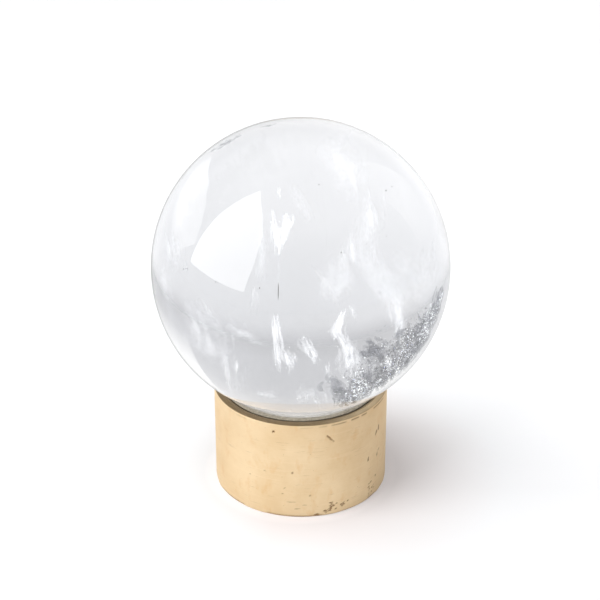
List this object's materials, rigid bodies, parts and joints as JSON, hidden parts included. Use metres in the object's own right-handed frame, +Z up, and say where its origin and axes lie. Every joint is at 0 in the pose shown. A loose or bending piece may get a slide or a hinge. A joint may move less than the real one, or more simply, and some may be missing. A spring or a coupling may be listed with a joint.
{
  "type": "crystal ball",
  "caption": "Solid rock-crystal ball resting on a felt-lined, gilded wooden stand; the ball turns on its seat and lifts off.",
  "frame": {"origin": "centre of the underside, on the upright axis through the ball and the stand", "axes": "+Z up along the axis; X and Y are alike, because every piece is round about Z"},
  "size_m": [0.1, 0.1, 0.1303],
  "materials": {
    "crystal": "clear polished rock crystal with white veils and healed cracks",
    "gilding": "satin pale gold leaf over turned hardwood, lightly scratched and chipped",
    "seat_felt": "grey-beige wool felt",
    "base_felt": "dark brown wool felt"
  },
  "bodies": {
    "stand": {"stand_block": "gilding", "base_felt": "base_felt"},
    "seat": {"seat_felt": "seat_felt"},
    "ball": {"crystal_ball": "crystal"}
  },
  "joints": [
    {"name": "ball_turn", "type": "hinge", "parent": "stand", "child": "seat", "pos_m": [0, 0, 0.0803], "axis": [0, 0, 1], "continuous": true},
    {"name": "ball_lift", "type": "slide", "parent": "seat", "child": "ball", "axis": [0, 0, 1], "range_m": [0, 0.035]}
  ]
}
